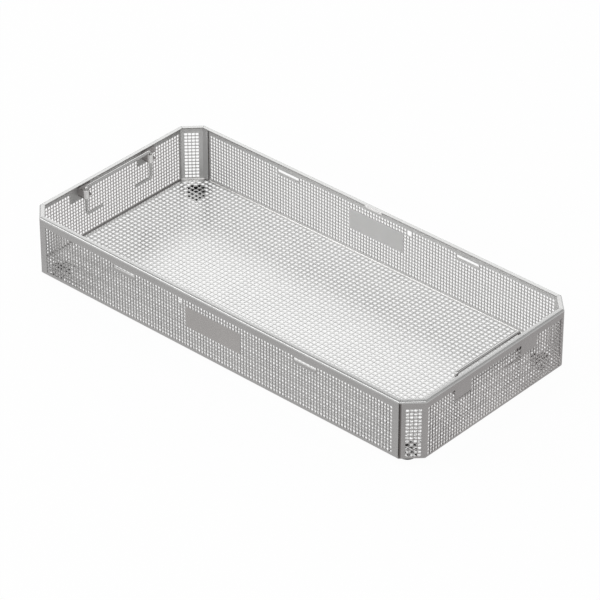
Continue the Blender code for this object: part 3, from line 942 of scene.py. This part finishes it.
def make_ground():
    """A plain white floor that stays white to the camera and keeps a faint shadow."""
    mesh = bpy.data.meshes.new("ground")
    corners = [(x * GROUND_REACH, y * GROUND_REACH, 0) for x, y in ((-1, -1), (1, -1), (1, 1), (-1, 1))]
    mesh.from_pydata(corners, [], [(0, 1, 2, 3)])
    ground = bpy.data.objects.new("ground", mesh)
    bpy.context.scene.collection.objects.link(ground)
    material, nodes, links = new_material("white_ground")
    nodes.clear()
    out = nodes.new("ShaderNodeOutputMaterial")
    matt = nodes.new("ShaderNodeBsdfDiffuse")
    matt.inputs["Color"].default_value = (*GROUND_COLOUR, 1)
    white = nodes.new("ShaderNodeEmission")
    white.inputs["Color"].default_value = WHITE
    white.inputs["Strength"].default_value = 1.0
    mix = nodes.new("ShaderNodeMixShader")
    links.new(background_share(nodes, links), mix.inputs["Fac"])
    links.new(matt.outputs["BSDF"], mix.inputs[1])
    links.new(white.outputs["Emission"], mix.inputs[2])
    links.new(mix.outputs["Shader"], out.inputs["Surface"])
    mesh.materials.append(material)


def background_share(nodes, links):
    """A socket that is the ground's share for camera, glossy and transmission rays, otherwise 0."""
    rays = nodes.new("ShaderNodeLightPath")
    seen = rays.outputs["Is Camera Ray"]
    for kind in ("Is Glossy Ray", "Is Transmission Ray"):
        either = nodes.new("ShaderNodeMath")
        either.operation = "MAXIMUM"
        links.new(seen, either.inputs[0])
        links.new(rays.outputs[kind], either.inputs[1])
        seen = either.outputs["Value"]
    scaled = nodes.new("ShaderNodeMath")
    scaled.operation = "MULTIPLY"
    links.new(seen, scaled.inputs[0])
    scaled.inputs[1].default_value = GROUND_SHARE
    return scaled.outputs["Value"]


def make_world():
    """White to the camera; to the basket a plain room that is darker overhead."""
    world = bpy.data.worlds.new("studio")
    bpy.context.scene.world = world
    world.use_nodes = True
    nodes = world.node_tree.nodes
    links = world.node_tree.links
    nodes.clear()
    out = nodes.new("ShaderNodeOutputWorld")
    direction = nodes.new("ShaderNodeTexCoord")
    split = nodes.new("ShaderNodeSeparateXYZ")
    links.new(direction.outputs["Generated"], split.inputs["Vector"])
    overhead = nodes.new("ShaderNodeMapRange")
    overhead.interpolation_type = "SMOOTHSTEP"
    overhead.inputs["From Min"].default_value = OVERHEAD_FROM
    overhead.inputs["From Max"].default_value = OVERHEAD_FULL
    overhead.inputs["To Min"].default_value = ROOM_LIGHT
    overhead.inputs["To Max"].default_value = OVERHEAD_LIGHT
    links.new(split.outputs["Z"], overhead.inputs["Value"])
    room = nodes.new("ShaderNodeBackground")
    room.inputs["Color"].default_value = WHITE
    links.new(overhead.outputs["Result"], room.inputs["Strength"])
    white = nodes.new("ShaderNodeBackground")
    white.inputs["Color"].default_value = WHITE
    white.inputs["Strength"].default_value = 1.0
    rays = nodes.new("ShaderNodeLightPath")
    mix = nodes.new("ShaderNodeMixShader")
    links.new(rays.outputs["Is Camera Ray"], mix.inputs["Fac"])
    links.new(room.outputs["Background"], mix.inputs[1])
    links.new(white.outputs["Background"], mix.inputs[2])
    links.new(mix.outputs["Shader"], out.inputs["Surface"])


def add_lamp(name, direction, size, radiance):
    """A soft box in a direction from the basket and aimed at it, as bright as radiance says."""
    data = bpy.data.lights.new(name, "AREA")
    data.shape = "RECTANGLE"
    data.size, data.size_y = size
    data.energy = radiance * math.pi * size[0] * size[1]
    lamp = bpy.data.objects.new(name, data)
    bpy.context.scene.collection.objects.link(lamp)
    lamp.location = Vector(direction).normalized() * LAMP_DISTANCE
    lamp.rotation_mode = "QUATERNION"
    lamp.rotation_quaternion = (-lamp.location).to_track_quat("-Z", "Y")


def make_camera():
    """The camera looks along the photograph's direction, past the middle of the tray's bottom."""
    level = math.cos(CAMERA_ELEVATION)
    back = Vector((math.sin(CAMERA_AZIMUTH) * level, -math.cos(CAMERA_AZIMUTH) * level,
                   math.sin(CAMERA_ELEVATION)))
    right = Vector((math.cos(CAMERA_AZIMUTH), math.sin(CAMERA_AZIMUTH), 0))
    up = back.cross(right)
    data = bpy.data.cameras.new("camera")
    data.sensor_width = SENSOR
    data.lens = CAMERA_LENS
    data.clip_end = CAMERA_REACH
    camera = bpy.data.objects.new("camera", data)
    bpy.context.scene.collection.objects.link(camera)
    middle = Vector((0, 0, TRAY_BOTTOM))
    camera.location = middle + back * CAMERA_DISTANCE + right * AIM_RIGHT + up * AIM_UP
    camera.rotation_mode = "QUATERNION"
    camera.rotation_quaternion = (-back).to_track_quat("-Z", "Y")
    bpy.context.scene.camera = camera


def main():
    """Build the steels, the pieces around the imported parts, and the stage."""
    bpy.context.scene.view_settings.view_transform = "Standard"
    # Lit and shaded copies of one steel paint light and shade: lighter inside and on the floor, painted
    # highlights on flanges, bends, lips and sleeves, darker short walls and corners, and a painted shadow
    # in the seams
    inner = make_steel("steel_inside_painted_light", LENGTHWISE, INNER_LIT_STEEL, INNER_ROUGHNESS, INNER_METALLIC)
    bright = make_steel("steel_painted_highlight", LENGTHWISE, HIGHLIGHT_STEEL, INNER_ROUGHNESS, INNER_METALLIC)
    flange = make_steel("steel_flange_painted_highlight", LENGTHWISE, FLANGE_HIGHLIGHT_STEEL)
    end_flange = make_steel("steel_flange_crosswise_painted_highlight", CROSSWISE, FLANGE_HIGHLIGHT_STEEL)
    long_steel = (make_steel("steel_lengthwise", LENGTHWISE, OUTER_STEEL), inner, flange,
                  make_steel("steel_label_place", LENGTHWISE, LABEL_STEEL), bright)
    end_inner = make_steel("steel_crosswise_inside_painted_light", CROSSWISE, END_INNER_LIT_STEEL, INNER_ROUGHNESS,
                           INNER_METALLIC)
    short_steel = (make_steel("steel_crosswise_painted_shade", CROSSWISE, END_SHADE_STEEL), end_inner, end_flange)
    corner_steel = (make_steel("steel_corner_painted_shade", CROSSWISE, CORNER_SHADE_STEEL), inner, end_flange,
                    make_steel("steel_seam_painted_shadow", CROSSWISE, SEAM_SHADOW_STEEL), bright)
    floor_steel = make_steel("steel_floor_painted_light", LENGTHWISE, FLOOR_LIT_STEEL, FLOOR_ROUGHNESS, FLOOR_METALLIC)
    bracket = make_steel("steel_bracket", CROSSWISE, BRACKET_STEEL, INNER_ROUGHNESS, INNER_METALLIC)
    wire_steel = make_steel("bright_wire", CROSSWISE, WIRE_STEEL, WIRE_ROUGHNESS, WIRE_METALLIC)

    pieces = make_long_walls(long_steel) + make_short_walls(short_steel)
    pieces += make_corners(corner_steel) + make_lips(bright)
    pieces.append(make_floor(floor_steel))
    for piece in pieces:
        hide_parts("perforated_tray")
    make_handle(1, wire_steel)
    make_handle(-1, wire_steel)
    make_brackets((bracket, bright))
    make_feet(make_rubber())

    make_ground()
    make_world()
    for lamp in LAMPS:
        add_lamp(*lamp)
    make_camera()


main()
